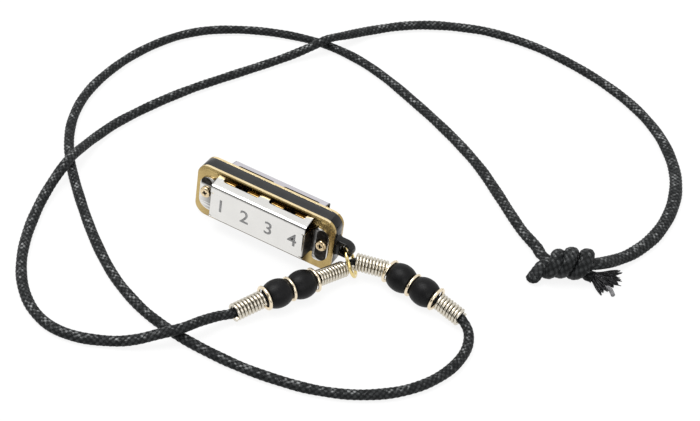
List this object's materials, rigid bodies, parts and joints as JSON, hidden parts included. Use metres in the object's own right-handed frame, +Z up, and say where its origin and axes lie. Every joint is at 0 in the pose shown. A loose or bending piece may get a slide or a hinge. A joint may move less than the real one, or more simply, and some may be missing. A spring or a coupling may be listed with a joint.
{
  "type": "mini harmonica necklace",
  "caption": "Miniature harmonica with metal covers on a black comb, hung by a wire link ring from a knotted black cord strung with beads, spacer rings and coil springs.",
  "frame": {"origin": "middle of the comb's mouth edge, on the table that the harmonica stands on and the cord lies on", "axes": "+X along the harmonica towards its eyelet, +Y through its thickness away from the front cover, +Z up to the comb's closed back"},
  "size_m": [0.1365, 0.1596, 0.014],
  "materials": {
    "comb_plastic": "satin black moulding",
    "plate_brass": "rolled sheet, bright edges",
    "reed_brass": "spring sheet",
    "cover_nickel": "bright nickel plate",
    "screw_brass": "pale brass, polished",
    "link_gold": "yellow gold colour, polished",
    "spacer_gold": "pink gold colour, polished",
    "spring_nickel": "bright wire",
    "bead_black": "matte black",
    "waxed_cotton": "waxed round braid"
  },
  "bodies": {
    "necklace": {"cord_left": "waxed_cotton", "cord_right": "waxed_cotton", "cord_core": "waxed_cotton", "knot": "waxed_cotton", "frayed_tail": "waxed_cotton"},
    "link": {"link_ring": "link_gold"},
    "harmonica": {"comb": "comb_plastic", "reed_plate_front": "plate_brass", "reed_plate_rear": "plate_brass", "reed_pad_front_1": "reed_brass", "reed_pad_front_2": "reed_brass", "reed_pad_front_3": "reed_brass", "reed_pad_front_4": "reed_brass", "reed_pad_rear_1": "reed_brass", "reed_pad_rear_2": "reed_brass", "reed_pad_rear_3": "reed_brass", "reed_pad_rear_4": "reed_brass", "cover_front": "cover_nickel", "cover_rear": "cover_nickel", "cover_screw_front_left": "screw_brass", "cover_screw_front_right": "screw_brass", "cover_screw_rear_left": "screw_brass", "cover_screw_rear_right": "screw_brass"},
    "reed_front_1_tongue": {"reed_front_1": "reed_brass"},
    "reed_front_2_tongue": {"reed_front_2": "reed_brass"},
    "reed_front_3_tongue": {"reed_front_3": "reed_brass"},
    "reed_front_4_tongue": {"reed_front_4": "reed_brass"},
    "reed_rear_1_tongue": {"reed_rear_1": "reed_brass"},
    "reed_rear_2_tongue": {"reed_rear_2": "reed_brass"},
    "reed_rear_3_tongue": {"reed_rear_3": "reed_brass"},
    "reed_rear_4_tongue": {"reed_rear_4": "reed_brass"},
    "bead_left_1_on_cord": {"bead_left_1": "bead_black"},
    "bead_left_2_on_cord": {"bead_left_2": "bead_black"},
    "spacer_ring_left_1_on_cord": {"spacer_ring_left_1": "spacer_gold"},
    "spacer_ring_left_2_on_cord": {"spacer_ring_left_2": "spacer_gold"},
    "spacer_ring_left_3_on_cord": {"spacer_ring_left_3": "spacer_gold"},
    "spring_left_inner_on_cord": {"spring_left_inner": "spring_nickel"},
    "spring_left_outer_on_cord": {"spring_left_outer": "spring_nickel"},
    "bead_right_1_on_cord": {"bead_right_1": "bead_black"},
    "bead_right_2_on_cord": {"bead_right_2": "bead_black"},
    "spacer_ring_right_1_on_cord": {"spacer_ring_right_1": "spacer_gold"},
    "spacer_ring_right_2_on_cord": {"spacer_ring_right_2": "spacer_gold"},
    "spacer_ring_right_3_on_cord": {"spacer_ring_right_3": "spacer_gold"},
    "spring_right_inner_on_cord": {"spring_right_inner": "spring_nickel"},
    "spring_right_outer_on_cord": {"spring_right_outer": "spring_nickel"}
  },
  "joints": [
    {"name": "link_swing", "type": "hinge", "parent": "necklace", "child": "link", "pos_m": [0.0211, 0.00035, 0.00285], "axis": [0.7268, 0.6868, 0], "range_deg": [-5, 40]},
    {"name": "harmonica_swing", "type": "hinge", "parent": "link", "child": "harmonica", "pos_m": [0.0197, 0, 0.00675], "axis": [0, 1, 0], "range_deg": [-8, 75]},
    {"name": "reed_front_1_bend", "type": "hinge", "parent": "harmonica", "child": "reed_front_1_tongue", "pos_m": [-0.00915, -0.00215, 0.0104], "axis": [1, 0, 0], "range_deg": [-3, 3], "stiffness_Nm_per_rad": 0.008},
    {"name": "reed_front_2_bend", "type": "hinge", "parent": "harmonica", "child": "reed_front_2_tongue", "pos_m": [-0.00305, -0.00215, 0.0104], "axis": [1, 0, 0], "range_deg": [-3, 3], "stiffness_Nm_per_rad": 0.008},
    {"name": "reed_front_3_bend", "type": "hinge", "parent": "harmonica", "child": "reed_front_3_tongue", "pos_m": [0.00305, -0.00215, 0.0104], "axis": [1, 0, 0], "range_deg": [-3, 3], "stiffness_Nm_per_rad": 0.008},
    {"name": "reed_front_4_bend", "type": "hinge", "parent": "harmonica", "child": "reed_front_4_tongue", "pos_m": [0.00915, -0.00215, 0.0104], "axis": [1, 0, 0], "range_deg": [-3, 3], "stiffness_Nm_per_rad": 0.008},
    {"name": "reed_rear_1_bend", "type": "hinge", "parent": "harmonica", "child": "reed_rear_1_tongue", "pos_m": [-0.00915, 0.00131, 0.0093], "axis": [1, 0, 0], "range_deg": [-3, 3], "stiffness_Nm_per_rad": 0.008},
    {"name": "reed_rear_2_bend", "type": "hinge", "parent": "harmonica", "child": "reed_rear_2_tongue", "pos_m": [-0.00305, 0.00131, 0.0093], "axis": [1, 0, 0], "range_deg": [-3, 3], "stiffness_Nm_per_rad": 0.008},
    {"name": "reed_rear_3_bend", "type": "hinge", "parent": "harmonica", "child": "reed_rear_3_tongue", "pos_m": [0.00305, 0.00131, 0.0093], "axis": [1, 0, 0], "range_deg": [-3, 3], "stiffness_Nm_per_rad": 0.008},
    {"name": "reed_rear_4_bend", "type": "hinge", "parent": "harmonica", "child": "reed_rear_4_tongue", "pos_m": [0.00915, 0.00131, 0.0093], "axis": [1, 0, 0], "range_deg": [-3, 3], "stiffness_Nm_per_rad": 0.008},
    {"name": "bead_left_1_spin", "type": "hinge", "parent": "necklace", "child": "bead_left_1_on_cord", "pos_m": [0.0159, -0.012, 0.0032], "axis": [-0.4493, -0.8934, 0], "continuous": true},
    {"name": "bead_left_2_spin", "type": "hinge", "parent": "necklace", "child": "bead_left_2_on_cord", "pos_m": [0.01309, -0.01758, 0.0032], "axis": [-0.4493, -0.8934, 0], "continuous": true},
    {"name": "spacer_ring_left_1_spin", "type": "hinge", "parent": "necklace", "child": "spacer_ring_left_1_on_cord", "pos_m": [0.0173, -0.00921, 0.0032], "axis": [-0.4493, -0.8934, 0], "continuous": true},
    {"name": "spacer_ring_left_2_spin", "type": "hinge", "parent": "necklace", "child": "spacer_ring_left_2_on_cord", "pos_m": [0.0145, -0.01479, 0.0032], "axis": [-0.4493, -0.8934, 0], "continuous": true},
    {"name": "spacer_ring_left_3_spin", "type": "hinge", "parent": "necklace", "child": "spacer_ring_left_3_on_cord", "pos_m": [0.01169, -0.02038, 0.0032], "axis": [-0.4493, -0.8934, 0], "continuous": true},
    {"name": "spring_left_inner_spin", "type": "hinge", "parent": "necklace", "child": "spring_left_inner_on_cord", "pos_m": [0.01752, -0.00878, 0.0032], "axis": [0.3634, 0.9252, -0.1091], "continuous": true},
    {"name": "spring_left_outer_spin", "type": "hinge", "parent": "necklace", "child": "spring_left_outer_on_cord", "pos_m": [0.01147, -0.0208, 0.0032], "axis": [-0.4592, -0.8737, -0.1606], "continuous": true},
    {"name": "bead_right_1_spin", "type": "hinge", "parent": "necklace", "child": "bead_right_1_on_cord", "pos_m": [0.0326, 0.00285, 0.0032], "axis": [0.9888, -0.1495, 0], "continuous": true},
    {"name": "bead_right_2_spin", "type": "hinge", "parent": "necklace", "child": "bead_right_2_on_cord", "pos_m": [0.03878, 0.00192, 0.0032], "axis": [0.9888, -0.1495, 0], "continuous": true},
    {"name": "spacer_ring_right_1_spin", "type": "hinge", "parent": "necklace", "child": "spacer_ring_right_1_on_cord", "pos_m": [0.02951, 0.00332, 0.0032], "axis": [0.9888, -0.1495, 0], "continuous": true},
    {"name": "spacer_ring_right_2_spin", "type": "hinge", "parent": "necklace", "child": "spacer_ring_right_2_on_cord", "pos_m": [0.03569, 0.00238, 0.0032], "axis": [0.9888, -0.1495, 0], "continuous": true},
    {"name": "spacer_ring_right_3_spin", "type": "hinge", "parent": "necklace", "child": "spacer_ring_right_3_on_cord", "pos_m": [0.04187, 0.00145, 0.0032], "axis": [0.9888, -0.1495, 0], "continuous": true},
    {"name": "spring_right_inner_spin", "type": "hinge", "parent": "necklace", "child": "spring_right_inner_on_cord", "pos_m": [0.02904, 0.00339, 0.0032], "axis": [-0.9546, -0.297, 0.0224], "continuous": true},
    {"name": "spring_right_outer_spin", "type": "hinge", "parent": "necklace", "child": "spring_right_outer_on_cord", "pos_m": [0.04234, 0.00138, 0.0032], "axis": [0.973, -0.1375, -0.1854], "continuous": true}
  ]
}
